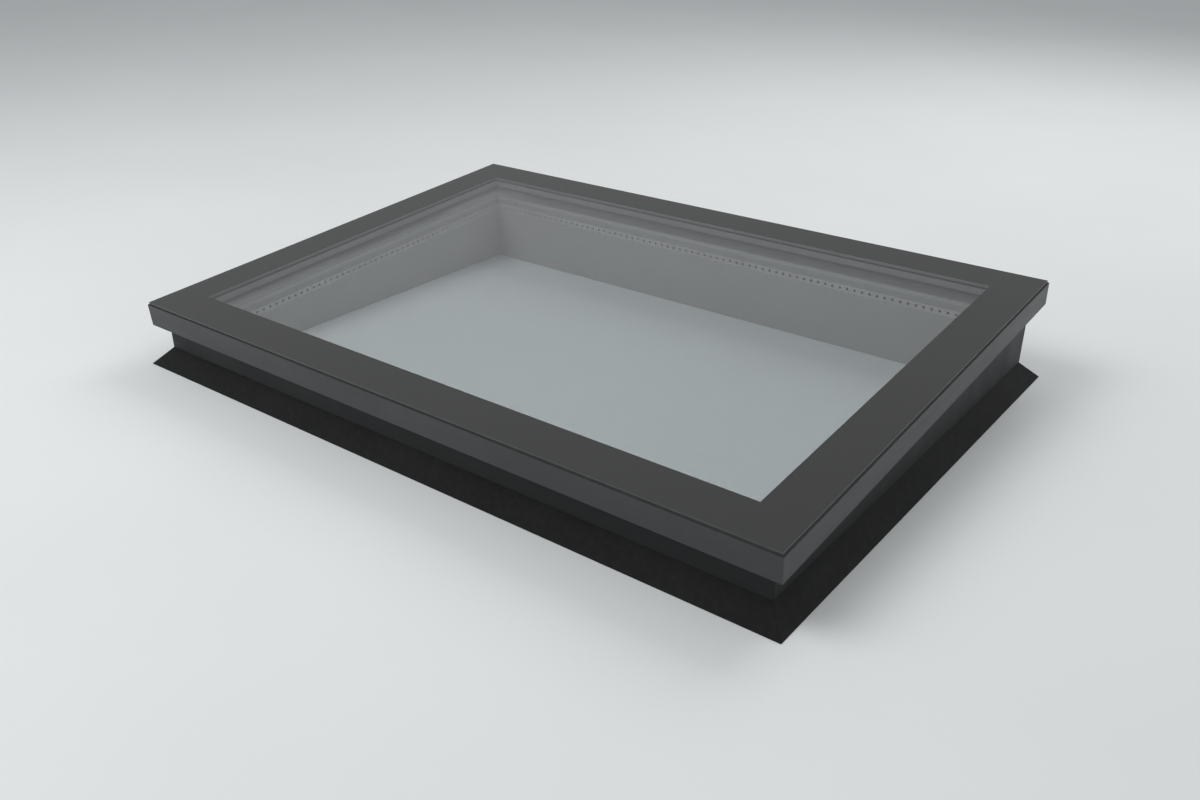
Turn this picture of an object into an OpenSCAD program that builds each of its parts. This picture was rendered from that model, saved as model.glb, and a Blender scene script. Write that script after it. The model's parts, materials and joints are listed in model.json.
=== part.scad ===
// Fixed flat-glass rooflight for a flat roof, all sizes in millimetres.
// A stepped insulating glass unit with a printed black border lies in an aluminium frame,
// on an insulated kerb whose head falls towards the front. A splayed skirt flashes the base.
// The origin is the centre of the footprint, on the roof deck. +Z is up and -Y is the low side.

/* [Light opening] */
// Clear length of the opening, along X
opening_x = 1200; // [700:10:2400]
// Clear width of the opening, along Y
opening_y = 800; // [500:10:1400]

/* [Kerb] */
// Thickness of the kerb wall
wall_t = 70; // [60:1:120]
// Height of the kerb head at its low outer face
front_h = 83; // [75:1:300]
// Fall of the glass towards the front, in degrees
tilt = 4; // [2:0.5:8]
// Thickness of the outer skin
skin_t = 3; // [1.5:0.5:5]
// Thickness of the inner lining board
liner_t = 9; // [6:0.5:15]
// Height of the base rail
base_rail_h = 22; // [18:1:28]
// Height of the head rail
head_rail_h = 26; // [22:1:34]
// Thickness of the compressed seal under the kerb
base_seal_t = 3; // [2:0.5:6]
// How far the base seal stays back from the base rail's faces
base_seal_inset = 4; // [2:1:8]

/* [Ventilation strip] */
// Height of the perforated strip
vent_h = 14; // [8:1:18]
// Thickness of the perforated strip
vent_t = 1.5; // [1:0.25:3]
// Distance from one hole to the next
vent_pitch = 16; // [10:1:40]
// Radius of a hole
vent_hole_r = 3; // [1:0.25:3.25]
// Depth of the air groove behind the strip
vent_groove_d = 6; // [3:1:10]

/* [Flashing skirt] */
// How far the skirt reaches out from the kerb, and how high it starts
skirt_run = 33; // [20:1:60]
// Thickness of the folded skirt
skirt_t = 2; // [1:0.25:3]
// Length of its upstand behind the outer skin
skirt_leaf = 20; // [12:1:30]

/* [Glazing frame] */
// How far the frame and glass oversail the kerb
overhang = 22; // [12:1:40]
// Width of the frame's hollow tube
frame_w = 42; // [36:1:60]
// Wall thickness of the frame
frame_wall = 2.5; // [2:0.25:4]
// Width of the frame's foot beyond its tube
foot_w = 18; // [16:1:26]
// Thickness of the foam tape between the kerb head and the frame
tape_t = 2; // [1:0.5:3]
// Height of the inner ledge that the glass unit lies on
ledge_h = 8; // [7:0.5:14]
// Leg length of a corner cleat
cleat_leg = 70; // [40:5:120]
// Thickness of a cleat's legs
cleat_t = 12; // [6:1:16]
// Height of a cleat
cleat_h = 25; // [15:1:30]

/* [Glass unit] */
// Thickness of the outer pane
outer_t = 4; // [4:1:10]
// How far the outer pane's edge stays back from the frame's outer face
pane_set = 2.4; // [1.5:0.1:6]
// Thickness of the middle pane
middle_t = 4; // [3:1:8]
// Thickness of the laminated inner pane
inner_t = 6.4; // [6:0.2:12]
// Depth of each of the two gas cavities
cavity = 12; // [10:1:18]
// Distance from the frame's outer face to the edges of the two inner panes
step_w = 46; // [44:1:60]
// Distance from the frame's outer face to the printed border's inner edge
border_w = 81; // [64:1:120]
// Thickness of the printed border
border_t = 0.3; // [0.2:0.05:0.5]
// Distance from the pane's edge to the border, and from the frame's face to the weather seal
edge_set = 0.5; // [0.3:0.1:1]
// Width of the edge spacer
spacer_w = 8; // [6:1:12]
// Width of the edge sealant
sealant_w = 5; // [4:1:8]
// Width of the weather seal under the outer pane's edge
weather_seal_w = 30; // [15:1:40]
// Thickness of the weather seal
weather_seal_t = 1.2; // [1:0.1:4]
// Thickness of the flat gasket under the inner pane
gasket_t = 1.6; // [1:0.1:3]
// Distance from the ledge's inner edge to the gasket
gasket_set = 1; // [0.5:0.5:4]
// Length of a setting block
block_l = 80; // [40:5:120]

/* [Fixings] */
// Radius of a frame screw
screw_r = 2.1; // [1.5:0.1:2.5]
// Radius of a frame screw's countersunk head
screw_head_r = 4.2; // [3:0.1:5]
// Height of a frame screw's head
screw_head_h = 2.2; // [1.5:0.1:2.5]
// Length of a frame screw
screw_l = 28; // [20:1:29]
// Largest distance from one frame screw to the next
screw_pitch = 300; // [150:10:400]
// Distance from the frame's corner to its first screw
screw_end = 120; // [90:5:200]
// Distance from the opening's corner to the nearest threaded inserts
insert_end = 150; // [100:5:220]
// Radius of the insert's core hole, for an M8 thread
insert_core_r = 3.4; // [2.5:0.1:5.1]
// Outer radius of an insert
insert_r = 6.5; // [6:0.5:9]
// Length of an insert
insert_l = 17; // [12:1:18]
// Leg length of a corner plate
plate_leg = 80; // [50:5:120]
// Width of a corner plate
plate_w = 28; // [20:1:34]
// Thickness of a corner plate
plate_t = 3; // [2:0.5:4]

/* [Hidden] */
SIDES = ["front", "right", "back", "left"];
PER_SIDE = ["frame", "ledge", "head_rail", "vent_strip", "kerb_core", "kerb_skin", "liner",
    "base_rail", "base_seal", "skirt"];

$fn = 32;
slip = 0.3;         // clearance between pieces that slide together
thread_fit = 0.05;  // radial clearance of a screw or an insert in its hole
screw_play = 0.3;   // radial clearance of a screw in the pieces that it clamps
past = 1;           // how far a cut runs past the face that it opens
tall = 1000;        // taller than any kerb

// Kerb, in plan
wall_hx = opening_x / 2 + wall_t;
wall_hy = opening_y / 2 + wall_t;
liner_at = wall_t - liner_t;
head_mid_z = front_h + wall_hy * tan(tilt);
base_rail_top = base_seal_t + base_rail_h;

// Glazing frame, measured in the plane of the kerb head
rim_hx = wall_hx + overhang;
rim_hy = wall_hy / cos(tilt) + overhang;
ledge_end = overhang + wall_t;
foot_end = frame_w + foot_w;
frame_h = ledge_h + gasket_t + inner_t + cavity + middle_t + cavity + outer_t;
tube_top = frame_h - outer_t - border_t - weather_seal_t;
foot_top = tape_t + frame_wall;
screw_at = frame_w + foot_w / 2;

// Heights of the glass unit's layers over the kerb head
inner_z = ledge_h + gasket_t;
middle_z = inner_z + inner_t + cavity;
outer_z = frame_h - outer_t;
spacer_at = step_w + sealant_w;

// Skirt, measured inwards from its tip
tip_hx = wall_hx + skirt_run;
tip_hy = wall_hy + skirt_run;
skirt_foot = skirt_t * sqrt(2);
leaf_at = skirt_run + skin_t;
leaf_top = skirt_run + skin_t + skirt_leaf;

// Ventilation strip, in the plane of the kerb head
vent_mid_z = vent_h / 2 - head_rail_h;
vent_groove_h = vent_h / 2;
vent_end = wall_t - vent_t;

// Threaded inserts along the middle of the base rail
rail_mid = (skin_t + liner_at) / 2;
insert_x = opening_x / 2 - insert_end;
insert_y = opening_y / 2 - insert_end;

// Colours
powder_grey = [0.24, 0.25, 0.26];
flashing_black = [0.11, 0.11, 0.12];
skin_grey = [0.17, 0.17, 0.18];
rubber_black = [0.06, 0.06, 0.06];
plastic_white = [0.78, 0.79, 0.79];
timber = [0.72, 0.58, 0.4];
rail_grey = [0.6, 0.6, 0.6];
zinc = [0.68, 0.69, 0.7];
glass_tint = [0.55, 0.66, 0.68, 0.35];
foam_cream = [0.85, 0.82, 0.62];

// Moves its children into the plane of the kerb head, whose middle becomes the origin
module on_slope() {
    translate([0, 0, head_mid_z]) rotate([tilt, 0, 0]) children();
}

// Keeps what lies between two heights over the kerb head
module between(low, high) {
    intersection() {
        children();
        on_slope() translate([-tall, -tall, low]) cube([2 * tall, 2 * tall, high - low]);
    }
}

// One mitred side of a ring whose outer rim is 2 hx by 2 hy. Its section is the child:
// the first coordinate runs inwards from the rim, over reach at most, and the second one up.
module mitred_side(side, hx, hy, reach) {
    half = side % 2 == 0 ? hx : hy;
    rim = side % 2 == 0 ? hy : hx;
    rotate([0, 0, 90 * side]) intersection() {
        translate([-half, -rim, 0]) rotate([90, 0, 90]) linear_extrude(2 * half) children();
        translate([0, 0, -tall]) linear_extrude(2 * tall)
            polygon([[-half, -rim], [half, -rim],
                [half - reach, reach - rim], [reach - half, reach - rim]]);
    }
}

// One mitred side of the kerb, from one distance behind its outer face to another
module wall_side(side, from, to, low, high) {
    mitred_side(side, wall_hx, wall_hy, to + past)
        translate([from, low]) square([to - from, high - low]);
}

// One mitred side of the kerb between two heights over its head
module head_side(side, from, to, low, high) {
    between(low, high) wall_side(side, from, to, 0, tall);
}

// One mitred side of the glazing frame, with its section as the child
module frame_side(side) {
    on_slope() mitred_side(side, rim_hx, rim_hy, ledge_end + past) children();
}

// A closed flat ring in the plane of the kerb head
module ring(from, to, low, high) {
    on_slope() translate([0, 0, low]) linear_extrude(high - low) difference() {
        square([2 * (rim_hx - from), 2 * (rim_hy - from)], center = true);
        square([2 * (rim_hx - to), 2 * (rim_hy - to)], center = true);
    }
}

// A pane whose edge lies at a distance inside the frame's rim
module pane(edge, low, thick) {
    on_slope() translate([0, 0, low]) linear_extrude(thick)
        square([2 * (rim_hx - edge), 2 * (rim_hy - edge)], center = true);
}

// Stations of the frame screws along a side of half length half
function stations(half) =
    let (span = 2 * (half - screw_end), count = ceil(span / screw_pitch))
    [for (i = [0:count]) i * span / count - span / 2];

// Puts its child at each frame screw of one side, with the head's top at height zero
module at_screws(side) {
    half = side % 2 == 0 ? rim_hx : rim_hy;
    rim = side % 2 == 0 ? rim_hy : rim_hx;
    on_slope() rotate([0, 0, 90 * side])
        for (x = stations(half)) translate([x, screw_at - rim, ledge_h]) children();
}

// A frame screw's shape, grown by a clearance
module screw_shape(play, length) {
    translate([0, 0, -length]) cylinder(h = length, r = screw_r + play);
    translate([0, 0, -screw_head_h]) cylinder(h = screw_head_h, r1 = screw_r + play, r2 = screw_head_r + play);
}

// Puts its child at each threaded insert, by mirrored pairs on all four sides
module at_inserts() {
    for (sx = [-1, 1], sy = [-1, 1]) {
        translate([sx * insert_x, sy * (wall_hy - rail_mid), base_seal_t]) children();
        translate([sx * (wall_hx - rail_mid), sy * insert_y, base_seal_t]) children();
    }
}

// Four L shapes whose outer corners lie at the corners of a rectangle 2 hx by 2 hy
module corner_ells(hx, hy, leg, width) {
    for (flip_x = [0, 1], flip_y = [0, 1]) mirror([flip_x, 0]) mirror([0, flip_y])
        translate([hx, hy]) union() {
            translate([-leg, -width]) square([leg, width]);
            translate([-width, -leg]) square([width, leg]);
        }
}

// Plates that tie the base rails, let into their tops
module base_plates() {
    translate([0, 0, base_rail_top - plate_t]) linear_extrude(plate_t)
        corner_ells(wall_hx - rail_mid + plate_w / 2, wall_hy - rail_mid + plate_w / 2, plate_leg, plate_w);
}

// Plates that tie the head rails, let into their undersides
module head_plates() {
    on_slope() translate([0, 0, -head_rail_h]) linear_extrude(plate_t)
        corner_ells(wall_hx - rail_mid + plate_w / 2, wall_hy - rail_mid + plate_w / 2, plate_leg, plate_w);
}

module outer_pane() {
    color(glass_tint) pane(pane_set, outer_z, outer_t);
}

module middle_pane() {
    color(glass_tint) pane(step_w, middle_z, middle_t);
}

module inner_pane() {
    color(glass_tint) pane(step_w, inner_z, inner_t);
}

module printed_border() {
    color(powder_grey) ring(pane_set + edge_set, border_w, outer_z - border_t, outer_z);
}

module upper_spacer() {
    color(rubber_black) ring(spacer_at, spacer_at + spacer_w, middle_z + middle_t, outer_z - border_t);
}

module lower_spacer() {
    color(rubber_black) ring(spacer_at, spacer_at + spacer_w, inner_z + inner_t, middle_z);
}

module edge_sealant() {
    color(rubber_black) {
        ring(step_w, spacer_at, middle_z + middle_t, outer_z - border_t);
        ring(step_w, spacer_at, inner_z + inner_t, middle_z);
    }
}

module weather_seal() {
    color(rubber_black) ring(edge_set, weather_seal_w, tube_top, outer_z - border_t);
}

module glazing_gasket() {
    color(rubber_black) ring(step_w, ledge_end - gasket_set, ledge_h, inner_z);
}

// Blocks between the frame and the inner panes' edges, near both ends of each side
module setting_blocks() {
    color(rubber_black) on_slope() for (side = [0:3]) {
        half = side % 2 == 0 ? rim_hx : rim_hy;
        rim = side % 2 == 0 ? rim_hy : rim_hx;
        for (end = [-1, 1]) rotate([0, 0, 90 * side])
            translate([end * (half - screw_end - block_l) - block_l / 2, frame_w - rim, ledge_h])
                cube([block_l, step_w - frame_w, middle_z + middle_t - ledge_h]);
    }
}

// Hollow extrusion with a drip lip outside and a foot that runs in under the ledge
module frame(side) {
    color(powder_grey) difference() {
        frame_side(side) difference() {
            polygon([[0, 0], [frame_wall, 0], [frame_wall, tape_t], [foot_end, tape_t], [foot_end, foot_top],
                [frame_w, foot_top], [frame_w, tube_top], [0, tube_top]]);
            translate([frame_wall, foot_top])
                square([frame_w - 2 * frame_wall, tube_top - frame_wall - foot_top]);
        }
        at_screws(side) screw_shape(screw_play, screw_l);
    }
}

// Insulating ledge that laps the frame's foot and carries the glass unit
module ledge(side) {
    color(plastic_white) difference() {
        frame_side(side)
            polygon([[frame_w, foot_top], [foot_end + slip, foot_top], [foot_end + slip, 0],
                [ledge_end, 0], [ledge_end, ledge_h], [frame_w, ledge_h]]);
        at_screws(side) screw_shape(screw_play, screw_l);
    }
}

// L-shaped cleats inside the frame's corners
module corner_cleats() {
    inset = frame_wall + slip;
    color(zinc) on_slope() translate([0, 0, foot_top]) linear_extrude(cleat_h)
        corner_ells(rim_hx - inset, rim_hy - inset, cleat_leg, cleat_t);
}

module frame_tape() {
    color(rubber_black) difference() {
        ring(overhang + past, foot_end - past, 0, tape_t);
        for (side = [0:3]) at_screws(side) screw_shape(screw_play, screw_l);
    }
}

module frame_screws() {
    color(zinc) for (side = [0:3]) at_screws(side) screw_shape(0, screw_l);
}

// Rail around the kerb's head, with a rebate for the strip and an air groove behind it.
// It is cut back for the skirt's upstand where the kerb is too low to clear it.
module head_rail(side) {
    color(rail_grey) difference() {
        head_side(side, skin_t, wall_t, -head_rail_h, 0);
        wall_side(side, skin_t, skin_t + skirt_t, -tall, leaf_top);
        head_side(side, vent_end, wall_t + past, -head_rail_h - past, vent_h - head_rail_h);
        head_side(side, vent_end - vent_groove_d, wall_t, vent_mid_z - vent_groove_h / 2,
            vent_mid_z + vent_groove_h / 2);
        at_screws(side) screw_shape(thread_fit, screw_l);
        head_plates();
    }
}

module vent_strip(side) {
    half = side % 2 == 0 ? opening_x / 2 : opening_y / 2 / cos(tilt);
    rim = side % 2 == 0 ? opening_y / 2 / cos(tilt) : opening_x / 2;
    count = floor((half - vent_pitch) / vent_pitch);
    color(plastic_white) difference() {
        head_side(side, vent_end, wall_t, -head_rail_h, vent_h - head_rail_h);
        on_slope() rotate([0, 0, 90 * side]) for (i = [-count:count])
            translate([i * vent_pitch, -rim - 2 * vent_t, vent_mid_z])
                rotate([-90, 0, 0]) cylinder(h = 4 * vent_t, r = vent_hole_r);
    }
}

// Insulation between the rails, cut back at its foot for the skirt's upstand
module kerb_core(side) {
    color(foam_cream) between(-tall, -head_rail_h) mitred_side(side, wall_hx, wall_hy, wall_t)
        polygon([[skin_t + skirt_t, base_rail_top], [liner_at, base_rail_top], [liner_at, tall],
            [skin_t, tall], [skin_t, leaf_top], [skin_t + skirt_t, leaf_top]]);
}

// Outer skin, bevelled along its lower edge to sit over the skirt
module kerb_skin(side) {
    color(skin_grey) between(-tall, 0) mitred_side(side, wall_hx, wall_hy, wall_t)
        polygon([[0, skirt_run + slip], [skin_t, skirt_run + skin_t + slip], [skin_t, tall], [0, tall]]);
}

module liner(side) {
    color(plastic_white) head_side(side, liner_at, wall_t, -tall, -head_rail_h);
}

module base_rail(side) {
    color(timber) difference() {
        wall_side(side, skin_t, liner_at, base_seal_t, base_rail_top);
        at_inserts() translate([0, 0, -past]) cylinder(h = insert_l + past, r = insert_r + thread_fit);
        base_plates();
    }
}

module base_seal(side) {
    color(rubber_black) difference() {
        wall_side(side, skin_t + base_seal_inset, liner_at - base_seal_inset, 0, base_seal_t);
        at_inserts() translate([0, 0, -tall]) cylinder(h = 2 * tall, r = insert_r + past);
    }
}

// Folded skirt: an upstand behind the outer skin and a flange that splays out to the deck
module skirt(side) {
    color(flashing_black) mitred_side(side, tip_hx, tip_hy, skirt_run + wall_t)
        polygon([[0, 0], [skirt_foot, 0], [leaf_at + skirt_t, leaf_at + skirt_t - skirt_foot],
            [leaf_at + skirt_t, leaf_top], [leaf_at, leaf_top], [leaf_at, leaf_at]]);
}

module corner_plates() {
    color(zinc) {
        base_plates();
        head_plates();
    }
}

module threaded_inserts() {
    color(zinc) at_inserts() difference() {
        cylinder(h = insert_l, r = insert_r);
        translate([0, 0, -past]) cylinder(h = insert_l + 2 * past, r = insert_core_r);
    }
}

outer_pane();
printed_border();
upper_spacer();
middle_pane();
lower_spacer();
inner_pane();
edge_sealant();
weather_seal();
glazing_gasket();
setting_blocks();
corner_cleats();
frame_tape();
frame_screws();
corner_plates();
threaded_inserts();
for (i = [0:3]) {
    frame(i);
    ledge(i);
    head_rail(i);
    vent_strip(i);
    kerb_core(i);
    kerb_skin(i);
    liner(i);
    base_rail(i);
    base_seal(i);
    skirt(i);
}
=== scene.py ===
"""Looks of a fixed flat-glass roof skylight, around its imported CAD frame. Metres, +Z up."""

import json
import math

import bmesh
import bpy
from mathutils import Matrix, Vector


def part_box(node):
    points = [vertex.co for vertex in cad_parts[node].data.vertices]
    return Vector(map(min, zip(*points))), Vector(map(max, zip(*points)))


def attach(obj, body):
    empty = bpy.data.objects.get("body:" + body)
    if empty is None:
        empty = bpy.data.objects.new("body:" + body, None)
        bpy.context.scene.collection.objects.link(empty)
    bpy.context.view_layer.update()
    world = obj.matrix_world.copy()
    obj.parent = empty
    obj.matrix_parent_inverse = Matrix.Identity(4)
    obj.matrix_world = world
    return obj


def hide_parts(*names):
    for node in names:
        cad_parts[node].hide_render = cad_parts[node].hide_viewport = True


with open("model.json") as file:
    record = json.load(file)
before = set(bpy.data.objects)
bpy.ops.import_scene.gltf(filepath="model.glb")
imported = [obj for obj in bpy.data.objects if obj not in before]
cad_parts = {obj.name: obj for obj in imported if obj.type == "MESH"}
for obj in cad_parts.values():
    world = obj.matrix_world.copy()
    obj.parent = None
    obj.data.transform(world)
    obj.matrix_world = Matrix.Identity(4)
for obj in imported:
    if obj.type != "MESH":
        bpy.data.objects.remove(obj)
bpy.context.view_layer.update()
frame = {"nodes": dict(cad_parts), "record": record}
scene = bpy.context.scene

# Camera: where it stands, and the direction that it looks from
CAMERA_PLACE = (1.1989, -1.526, 0.9065)
CAMERA_AZIMUTH = math.radians(37.59)
CAMERA_ELEVATION = math.radians(26.61)
CAMERA_LENS_MM = 32.965
SENSOR_MM = 36.0
CLIP_NEAR = 0.01
CLIP_FAR = 400.0

# Stage: the floor lies a hair below the object's underside
FLOOR_SIZE = 200.0
FLOOR_DROP = 0.0005
FLOOR_COLOUR = (0.745, 0.768, 0.772)
SKY_COLOUR = (0.80, 0.815, 0.83)
SKY_STRENGTH = 0.52

# Softboxes: where each one stands, its width and height, and its power in watts
LIGHT_TARGET = (0.0, 0.0, 0.1)
SOFTBOXES = {
    "key": ((-1.6, -2.2, 3.4), (2.4, 2.4), 90.0),
    "fill": ((6.0, -0.6, 1.5), (3.0, 1.4), 36.0),
    "back": ((0.6, 3.0, 3.0), (2.4, 2.4), 56.0),
}

# Shapes: vertices closer than WELD and faces bent less than FLAT are joined, and edges past SHARP are rounded
WELD = 1e-5
FLAT = math.radians(0.5)
SHARP = math.radians(25)
EASE_SEGMENTS = 2
# The outer pane's clear faces are square to the glass to within this cosine, and its edge's aren't
PANE_FACE_COSINE = 0.95
# A head rail's faces that lie within this of its ventilation strip's box are those of the groove behind it,
# which is painted near black as shade
SHADED_GROOVE_REACH = 0.008

SIDES = ("front", "right", "back", "left")

# The sockets of a Mix node that mixes colours, by number, because its names repeat
MIX_SHARE, MIX_FIRST, MIX_SECOND = 0, 6, 7
MIX_RESULT = 2

# The middle of a noise's values, where most of them lie
MIDDLE = (0.3, 0.7)

# The slight warmth of the pale pieces inside the well
WARM = (1.03, 1.0, 0.985)

GLASS_IOR = 1.5


# ---------------------------------------------------------------- material helpers


class Graph:
    """A material's node tree, with short calls that add a node and set or link its inputs."""

    def __init__(self, name):
        self.material = bpy.data.materials.new(name)
        self.material.use_nodes = True
        self.tree = self.material.node_tree
        self.tree.nodes.clear()
        self.output = self.tree.nodes.new("ShaderNodeOutputMaterial")

    def add(self, kind, settings=None, **inputs):
        """Adds a shader node, with its settings, and its inputs by name with _ for each space."""
        node = self.tree.nodes.new("ShaderNode" + kind)
        for key, value in (settings or {}).items():
            setattr(node, key, value)
        for key, value in inputs.items():
            self.put(node, key.replace("_", " "), value)
        return node

    def put(self, node, key, value):
        """Sets an input, by its name or its number, or links it where the value is another node's output."""
        socket = node.inputs[key]
        if isinstance(value, bpy.types.NodeSocket):
            self.tree.links.new(value, socket)
        else:
            socket.default_value = value

    def place(self, stretch=(1.0, 1.0, 1.0)):
        """The point on the object, in metres, stretched along each axis."""
        point = self.add("TexCoord").outputs["Object"]
        return self.add("Mapping", Vector=point, Scale=stretch).outputs[0]

    def noise(self, scale, detail, rough=0.5, point=None):
        """Cloudy noise from 0 to 1, with features of about 1 / scale metres."""
        point = point or self.place()
        return self.add("TexNoise", Vector=point, Scale=scale, Detail=detail, Roughness=rough).outputs[0]

    def cells(self, scale):
        """Distance to the nearest of many scattered points."""
        return self.add("TexVoronoi", Vector=self.place(), Scale=scale).outputs[0]

    def span(self, value, low, high, start=0.0, end=1.0):
        """Takes value from start..end to low..high, held at both ends."""
        node = self.add("MapRange")
        for index, number in enumerate((value, start, end, low, high)):
            self.put(node, index, number)
        return node.outputs[0]

    def maths(self, operation, a, b=0.0):
        node = self.add("Math", {"operation": operation})
        self.put(node, 0, a)
        self.put(node, 1, b)
        return node.outputs[0]

    def blend(self, share, first, second):
        """A colour between two colours."""
        node = self.add("Mix", {"data_type": "RGBA"})
        self.put(node, MIX_SHARE, share)
        self.put(node, MIX_FIRST, first)
        self.put(node, MIX_SECOND, second)
        return node.outputs[MIX_RESULT]

    def drift(self, noise, colour, darker, lighter):
        """A colour that wanders between two shades of itself."""
        return self.blend(self.span(noise, 0.0, 1.0, *MIDDLE), shade(colour, darker), shade(colour, lighter))

    def bump(self, height, depth, strength=1.0, under=None):
        """A bumped normal, with a depth in metres, over another bump or none."""
        node = self.add("Bump", Height=height, Distance=depth, Strength=strength)
        if under is not None:
            self.put(node, "Normal", under)
        return node.outputs[0]

    def end(self, shader):
        """Ends the material in a shader."""
        self.tree.links.new(shader.outputs[0], self.output.inputs[0])
        return self.material

    def surface(self, **inputs):
        """Ends the material in one Principled shader."""
        return self.end(self.add("BsdfPrincipled", **inputs))


def grey(value, tint=(1.0, 1.0, 1.0)):
    """A grey of a given brightness, or a tinted one, as an opaque colour."""
    return (value * tint[0], value * tint[1], value * tint[2], 1.0)


def shade(colour, factor):
    """A colour made darker or lighter by a factor."""
    return (colour[0] * factor, colour[1] * factor, colour[2] * factor, 1.0)


def upward(graph):
    """1 on faces that look up, where dust settles, and 0 on upright ones and undersides."""
    normal = graph.add("NewGeometry").outputs["Normal"]
    split = graph.add("SeparateXYZ", Vector=normal)
    return graph.span(split.outputs["Z"], 0.0, 1.0, start=0.2, end=0.95)


def wiped(graph):
    """Smears that wiping leaves on glass, from 0 to 1."""
    return graph.noise(1.0, detail=4.0, rough=0.6, point=graph.place(stretch=(3.0, 14.0, 3.0)))


# ---------------------------------------------------------------- materials


def powder_coat(name, colour, roughness, specular=0.5, dust=0.12):
    """Baked powder: a fine orange peel, slow shifts of gloss and a little dust where it can lie."""
    g = Graph(name)
    cloud = g.noise(7.0, detail=4.0)
    streak = g.noise(1.0, detail=3.0, point=g.place(stretch=(9.0, 9.0, 60.0)))
    tone = g.drift(cloud, colour, darker=0.88, lighter=1.12)
    patches = g.span(g.noise(90.0, detail=5.0, rough=0.7), 0.0, dust, start=0.45, end=0.75)
    lying = g.maths("MULTIPLY", upward(g), patches)
    settled = grey(0.32, (1.0, 0.99, 0.96))
    tone = g.blend(lying, tone, settled)
    gloss = g.span(streak, roughness - 0.02, roughness + 0.03, *MIDDLE)
    gloss = g.maths("ADD", gloss, g.span(g.noise(320.0, detail=2.0), -0.03, 0.03))
    peel = g.bump(g.noise(1100.0, detail=2.0), depth=0.00006)
    peel = g.bump(g.cells(2600.0), depth=0.00002, under=peel)
    return g.surface(Base_Color=tone, Roughness=gloss, Specular_IOR_Level=specular, Normal=peel)


def moulded(name, colour, roughness, specular=0.4):
    """Moulded or extruded plastic: a slow ripple under a fine grain."""
    g = Graph(name)
    ripple = g.noise(14.0, detail=3.0)
    grain = g.noise(700.0, detail=3.0, rough=0.6)
    tone = g.drift(ripple, colour, darker=0.93, lighter=1.06)
    tone = g.blend(g.span(grain, 0.0, 0.25, start=0.5, end=0.8), tone, shade(colour, 0.82))
    gloss = g.span(ripple, roughness - 0.05, roughness + 0.06, *MIDDLE)
    relief = g.bump(grain, depth=0.00008)
    relief = g.bump(ripple, depth=0.0006, strength=0.5, under=relief)
    return g.surface(Base_Color=tone, Roughness=gloss, Specular_IOR_Level=specular, Normal=relief)


def lining(name, colour):
    """Laminate-faced board: a fine leathery emboss and faint cloudiness."""
    g = Graph(name)
    cloud = g.noise(5.0, detail=4.0, rough=0.55)
    emboss = g.cells(900.0)
    tone = g.drift(cloud, colour, darker=0.95, lighter=1.05)
    tone = g.blend(g.span(emboss, 0.0, 0.12, start=0.3, end=0.9), tone, shade(colour, 0.7))
    gloss = g.span(cloud, 0.5, 0.62, *MIDDLE)
    return g.surface(Base_Color=tone, Roughness=gloss, Normal=g.bump(emboss, depth=0.00008))


def rubber(name, colour):
    """Extruded rubber: matt and finely grained, with a bloom of lighter dust."""
    g = Graph(name)
    fine = g.bump(g.noise(1500.0, detail=2.0), depth=0.00004)
    bloom = g.noise(60.0, detail=4.0, rough=0.65)
    tone = g.blend(g.span(bloom, 0.0, 0.5, start=0.4, end=0.75), colour, shade(colour, 1.9))
    gloss = g.span(bloom, 0.62, 0.8, *MIDDLE)
    return g.surface(Base_Color=tone, Roughness=gloss, Specular_IOR_Level=0.35, Normal=fine)


def foam(name, colour, scale):
    """Cut closed-cell foam: small open bubbles, their hollows painted darker as shade."""
    g = Graph(name)
    bubbles = g.cells(scale)
    # The darker tone in the bubbles' hollows is painted shade
    tone = g.blend(g.span(bubbles, 0.0, 1.0, start=0.1, end=0.6), shade(colour, 0.55), shade(colour, 1.1))
    return g.surface(Base_Color=tone, Roughness=0.9, Normal=g.bump(bubbles, depth=0.0004))


def softwood(name):
    """Planed softwood, its grain level along each rail."""
    g = Graph(name)
    wander = g.noise(3.0, detail=3.0)
    point = g.add("SeparateXYZ", Vector=g.place(stretch=(6.0, 6.0, 260.0)))
    ring = g.maths("ADD", g.maths("MULTIPLY", point.outputs["Z"], 0.9), g.maths("MULTIPLY", wander, 14.0))
    bands = g.maths("SINE", ring)
    pale, brown, fleck = (0.60, 0.43, 0.26, 1.0), (0.42, 0.26, 0.13, 1.0), (0.30, 0.18, 0.09, 1.0)
    tone = g.blend(g.span(bands, 0.0, 1.0, start=-0.8, end=1.0), pale, brown)
    fibre = g.noise(1.0, detail=3.0, point=g.place(stretch=(25.0, 25.0, 900.0)))
    tone = g.blend(g.span(fibre, 0.0, 0.45, start=0.4, end=0.8), tone, fleck)
    return g.surface(Base_Color=tone, Roughness=0.68, Normal=g.bump(fibre, depth=0.0002))


def plated(name, colour, roughness):
    """Bright plated or bead-blasted metal with drawn marks and dull spots."""
    g = Graph(name)
    drawn = g.noise(1.0, detail=3.0, point=g.place(stretch=(40.0, 40.0, 900.0)))
    spots = g.noise(160.0, detail=4.0, rough=0.7)
    tone = g.blend(g.span(spots, 0.0, 0.5, start=0.45, end=0.75), colour, shade(colour, 0.7))
    gloss = g.span(drawn, roughness - 0.08, roughness + 0.12, *MIDDLE)
    return g.surface(Base_Color=tone, Metallic=1.0, Roughness=gloss, Normal=g.bump(drawn, depth=0.00005))


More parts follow.
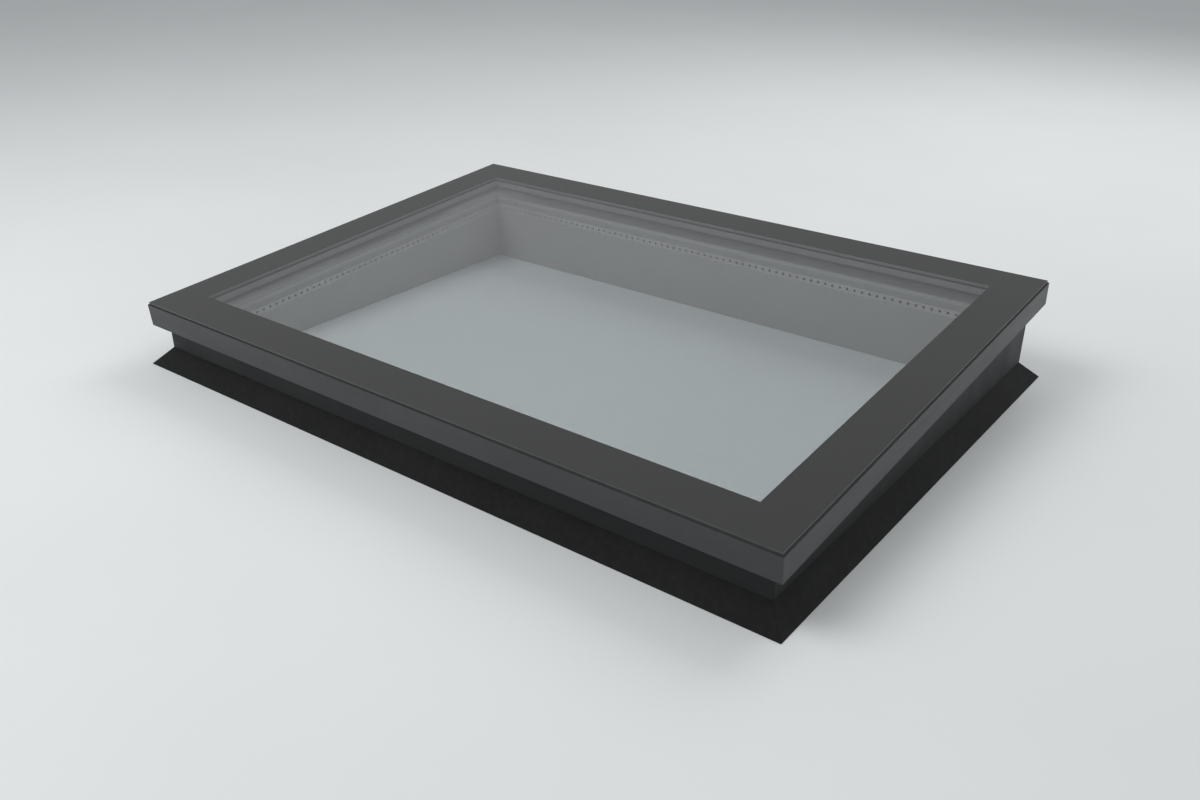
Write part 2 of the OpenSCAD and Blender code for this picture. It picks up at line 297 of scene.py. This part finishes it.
def enamel(name, colour, smear_gloss, specular):
    """Ceramic enamel fired onto glass: near black, with a faint fired mottle under faint smears."""
    g = Graph(name)
    mottle = g.noise(420.0, detail=3.0, rough=0.6)
    cloud = g.noise(3.0, detail=3.0)
    smear = wiped(g)
    tone = g.drift(mottle, colour, darker=0.96, lighter=1.04)
    tone = g.blend(g.span(cloud, 0.0, 0.5, start=0.35, end=0.7), tone, shade(colour, 1.12))
    gloss = g.span(smear, smear_gloss, smear_gloss + 0.08, start=0.35, end=0.75)
    return g.surface(Base_Color=tone, Roughness=gloss, Specular_IOR_Level=specular)


def polished_edge(name):
    """The pane's polished edge: dark with the border behind it, and marked by faint level polishing lines."""
    g = Graph(name)
    lines = g.noise(1.0, detail=3.0, point=g.place(stretch=(30.0, 30.0, 2500.0)))
    cloud = g.noise(40.0, detail=3.0)
    dark, paler = (0.042, 0.048, 0.046, 1.0), (0.056, 0.063, 0.060, 1.0)
    tone = g.blend(g.span(cloud, 0.0, 1.0, *MIDDLE), dark, paler)
    gloss = g.span(lines, 0.12, 0.24, *MIDDLE)
    relief = g.bump(lines, depth=0.00001)
    return g.surface(Base_Color=tone, Roughness=gloss, Specular_IOR_Level=0.6, Normal=relief)


def pane_glass(name, tint, sheen):
    """A clear pane: it tints what is seen through it and mirrors more at a glance, with faint smears."""
    g = Graph(name)
    back = g.add("NewGeometry").outputs["Backfacing"]
    smear = wiped(g)
    mirror = g.add("Fresnel", IOR=g.span(back, GLASS_IOR, 1.0 / GLASS_IOR))
    share = g.maths("MULTIPLY", mirror.outputs[0], sheen)
    gloss = g.span(smear, 0.0, 0.035, start=0.4, end=0.75)
    shiny = g.add("BsdfGlossy", Color=(1.0, 1.0, 1.0, 1.0), Roughness=gloss)
    clear = g.add("BsdfTransparent", Color=tint)
    mix = g.add("MixShader")
    g.put(mix, 0, share)
    g.put(mix, 1, clear.outputs[0])
    g.put(mix, 2, shiny.outputs[0])
    return g.end(mix)


def stage_floor(name):
    """Plain pale studio floor with the faintest mottle."""
    g = Graph(name)
    cloud = g.noise(1.5, detail=4.0)
    colour = (*FLOOR_COLOUR, 1.0)
    tone = g.drift(cloud, colour, darker=0.985, lighter=1.015)
    return g.surface(Base_Color=tone, Roughness=0.8, Specular_IOR_Level=0.2)


# The finish of each of the record's material slots
FINISHES = {
    "outer_glass": pane_glass("outer_glass", (0.858, 0.869, 0.872, 1.0), sheen=1.0),
    "inner_glass": pane_glass("inner_glass", (0.925, 0.935, 0.937, 1.0), sheen=0.4),
    "border_enamel": enamel("border_enamel", grey(0.02), smear_gloss=0.5, specular=0.3),
    "spacer_bar": moulded("spacer_bar", grey(0.19), 0.5),
    "black_sealant": rubber("black_sealant", grey(0.02)),
    "black_rubber": rubber("black_rubber", grey(0.028)),
    "gasket_rubber": rubber("gasket_rubber", grey(0.18)),
    "block_rubber": rubber("block_rubber", grey(0.05)),
    "foam_tape": foam("foam_tape", grey(0.05), scale=1400.0),
    "base_foam": foam("base_foam", grey(0.05), scale=1100.0),
    "frame_powder_coat": powder_coat("frame_powder_coat", grey(0.036, (0.97, 1.0, 1.05)), 0.42),
    "ledge_plastic": moulded("ledge_plastic", grey(0.375, WARM), 0.45),
    "cleat_aluminium": plated("cleat_aluminium", grey(0.6), 0.4),
    "zinc_steel": plated("zinc_steel", (0.56, 0.57, 0.60, 1.0), 0.32),
    "rail_timber": softwood("rail_timber"),
    "rail_plastic": moulded("rail_plastic", grey(0.285, WARM), 0.55),
    "strip_paint": powder_coat("strip_paint", grey(0.425, WARM), 0.45, dust=0.0),
    "foam_core": foam("foam_core", (0.72, 0.66, 0.42, 1.0), scale=700.0),
    "skin_coat": moulded("skin_coat", grey(0.018, (0.98, 1.0, 1.03)), 0.5, specular=0.25),
    "liner_board": lining("liner_board", grey(0.35, WARM)),
    "skirt_coat": powder_coat("skirt_coat", grey(0.012, (1.0, 1.0, 1.04)), 0.62, specular=0.22, dust=0.03),
}
# Finishes that no slot has: the pane's edge, the painted shade in the groove behind the ventilation strip and
# the printed border
EDGE_FINISH = polished_edge("polished_edge")
# Near black, painted into the groove as the shade inside it
GROOVE_PAINTED_SHADE = moulded("groove_painted_shade", grey(0.02), 0.7)
PRINT_FINISH = enamel("printed_glass", grey(0.045), smear_gloss=0.12, specular=0.22)


# ---------------------------------------------------------------- shapes

SLOTS = {part["node"]: part["material_slot"] for part in frame["record"]["subparts"]}

# How far each piece's edges are rounded, by its node's name without the side
EASES = {
    "outer_pane": 0.0006,
    "weather_seal": 0.0005,
    "glazing_gasket": 0.0004,
    "frame": 0.0007,
    "ledge": 0.0006,
    "liner": 0.0003,
    "kerb_skin": 0.0008,
    "skirt": 0.0005,
    "base_seal": 0.0006,
    "base_rail": 0.0008,
}


def family(node):
    """A node's name without its side."""
    for side in SIDES:
        node = node.removesuffix("_" + side)
    return node


def node_shape(node):
    """An editable copy of a CAD node's mesh, with its flat faces joined up."""
    shape = bmesh.new()
    shape.from_mesh(frame["nodes"][node].data)
    bmesh.ops.remove_doubles(shape, verts=shape.verts, dist=WELD)
    bmesh.ops.dissolve_limit(shape, angle_limit=FLAT, verts=shape.verts, edges=shape.edges)
    return shape


def add_piece(shape, node, materials, with_nodes=()):
    """Makes a piece from a shape, and lets it stand for a CAD node, and for any other that it takes in."""
    name = node + "_finish"
    mesh = bpy.data.meshes.new(name)
    bmesh.ops.triangulate(shape, faces=shape.faces)
    shape.to_mesh(mesh)
    shape.free()
    for material in materials:
        mesh.materials.append(material)
    piece = bpy.data.objects.new(name, mesh)
    scene.collection.objects.link(piece)
    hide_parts(node, *with_nodes)
    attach(piece, "root")
    return piece


def ease_edges(shape, width):
    """Rounds every sharp edge by a small width."""
    edges = [e for e in shape.edges if e.is_manifold and e.calc_face_angle() > SHARP]
    bmesh.ops.bevel(
        shape, geom=edges, offset=width, offset_type="OFFSET", segments=EASE_SEGMENTS, profile=0.5,
        affect="EDGES", clamp_overlap=True,
    )


def slope_up():
    """The upward direction square to the glass, from its largest face."""
    faces = frame["nodes"]["outer_pane"].data.polygons
    normal = max(faces, key=lambda face: face.area).normal.copy()
    return normal if normal.z > 0 else -normal


def eased_piece(node):
    """A copy of a node with its sharp edges rounded, in the node's own finish."""
    shape = node_shape(node)
    ease_edges(shape, EASES[family(node)])
    return add_piece(shape, node, [FINISHES[SLOTS[node]]])


def outer_pane_piece(up):
    """The outer pane, with a polished edge all round and the printed border on its top face."""
    shape = node_shape("outer_pane")
    ease_edges(shape, EASES["outer_pane"])
    shape.normal_update()
    top = max(shape.faces, key=lambda face: face.calc_area() * face.normal.dot(up))
    window = min(abs(v.co.x) for v in frame["nodes"]["printed_border"].data.vertices)
    width = max(abs(v.co.x) for v in top.verts) - window
    ring = bmesh.ops.inset_individual(shape, faces=[top], thickness=width, use_even_offset=True)["faces"]
    shape.normal_update()
    materials = [FINISHES["outer_glass"], EDGE_FINISH, PRINT_FINISH]
    glass, edge, printed = range(len(materials))
    for face in shape.faces:
        face.material_index = glass if abs(face.normal.dot(up)) > PANE_FACE_COSINE else edge
    for face in ring:
        face.material_index = printed
    return add_piece(shape, "outer_pane", materials, ["printed_border"])


def vented_rail_piece(side):
    """A head rail, with the groove behind its ventilation strip painted near black as shade, so that the
    holes show dark.
    """
    node = "head_rail_" + side
    shape = node_shape(node)
    low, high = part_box("vent_strip_" + side)
    materials = [FINISHES[SLOTS[node]], GROOVE_PAINTED_SHADE]
    rail, groove = range(len(materials))
    for face in shape.faces:
        behind = all(
            low[axis] - SHADED_GROOVE_REACH < vert.co[axis] < high[axis] + SHADED_GROOVE_REACH
            for vert in face.verts
            for axis in range(3)
        )
        # Faces in the groove take the painted shade
        face.material_index = groove if behind else rail
    return add_piece(shape, node, materials)


def light_through(piece):
    """Lets light pass a pane freely, as thin clear glass does."""
    piece.visible_shadow = False
    piece.visible_diffuse = False


def dress_nodes():
    """Gives every CAD node the finish of its slot."""
    for node, slot in SLOTS.items():
        data = frame["nodes"][node].data
        data.materials.clear()
        data.materials.append(FINISHES[slot])


# ---------------------------------------------------------------- stage


def add_floor():
    """A plain level floor that reaches past the camera's view."""
    half = FLOOR_SIZE / 2
    mesh = bpy.data.meshes.new("floor")
    corners = [(x * half, y * half, -FLOOR_DROP) for x, y in ((-1, -1), (1, -1), (1, 1), (-1, 1))]
    mesh.from_pydata(corners, [], [(0, 1, 2, 3)])
    mesh.materials.append(stage_floor("floor"))
    floor = bpy.data.objects.new("floor", mesh)
    scene.collection.objects.link(floor)


def add_sky():
    """Even, plain light from all round."""
    world = bpy.data.worlds.new("studio")
    world.use_nodes = True
    background = world.node_tree.nodes["Background"]
    background.inputs["Color"].default_value = (*SKY_COLOUR, 1.0)
    background.inputs["Strength"].default_value = SKY_STRENGTH
    scene.world = world


def add_softbox(name, place, size, power):
    """A soft rectangular light that looks at the object and isn't mirrored in it."""
    data = bpy.data.lights.new(name, "AREA")
    data.shape = "RECTANGLE"
    data.size, data.size_y = size
    data.energy = power
    light = bpy.data.objects.new(name, data)
    light.location = place
    light.rotation_euler = (Vector(LIGHT_TARGET) - Vector(place)).to_track_quat("-Z", "Y").to_euler()
    light.visible_glossy = False
    scene.collection.objects.link(light)


def add_camera():
    """The camera at the photograph's viewing angle."""
    data = bpy.data.cameras.new("camera")
    data.lens = CAMERA_LENS_MM
    data.sensor_width = SENSOR_MM
    data.sensor_fit = "HORIZONTAL"
    data.clip_start = CLIP_NEAR
    data.clip_end = CLIP_FAR
    camera = bpy.data.objects.new("camera", data)
    camera.location = CAMERA_PLACE
    camera.rotation_euler = (math.pi / 2 - CAMERA_ELEVATION, 0.0, CAMERA_AZIMUTH)
    scene.collection.objects.link(camera)
    scene.camera = camera


# ---------------------------------------------------------------- the skylight

dress_nodes()
glass_up = slope_up()
light_through(outer_pane_piece(glass_up))
light_through(frame["nodes"]["middle_pane"])
light_through(frame["nodes"]["inner_pane"])
for cad_node in SLOTS:
    if family(cad_node) in EASES and cad_node != "outer_pane":
        eased_piece(cad_node)
for rail_side in SIDES:
    vented_rail_piece(rail_side)

add_floor()
add_sky()
for light_name, (light_place, light_size, light_power) in SOFTBOXES.items():
    add_softbox(light_name, light_place, light_size, light_power)
add_camera()
scene.view_settings.view_transform = "Standard"
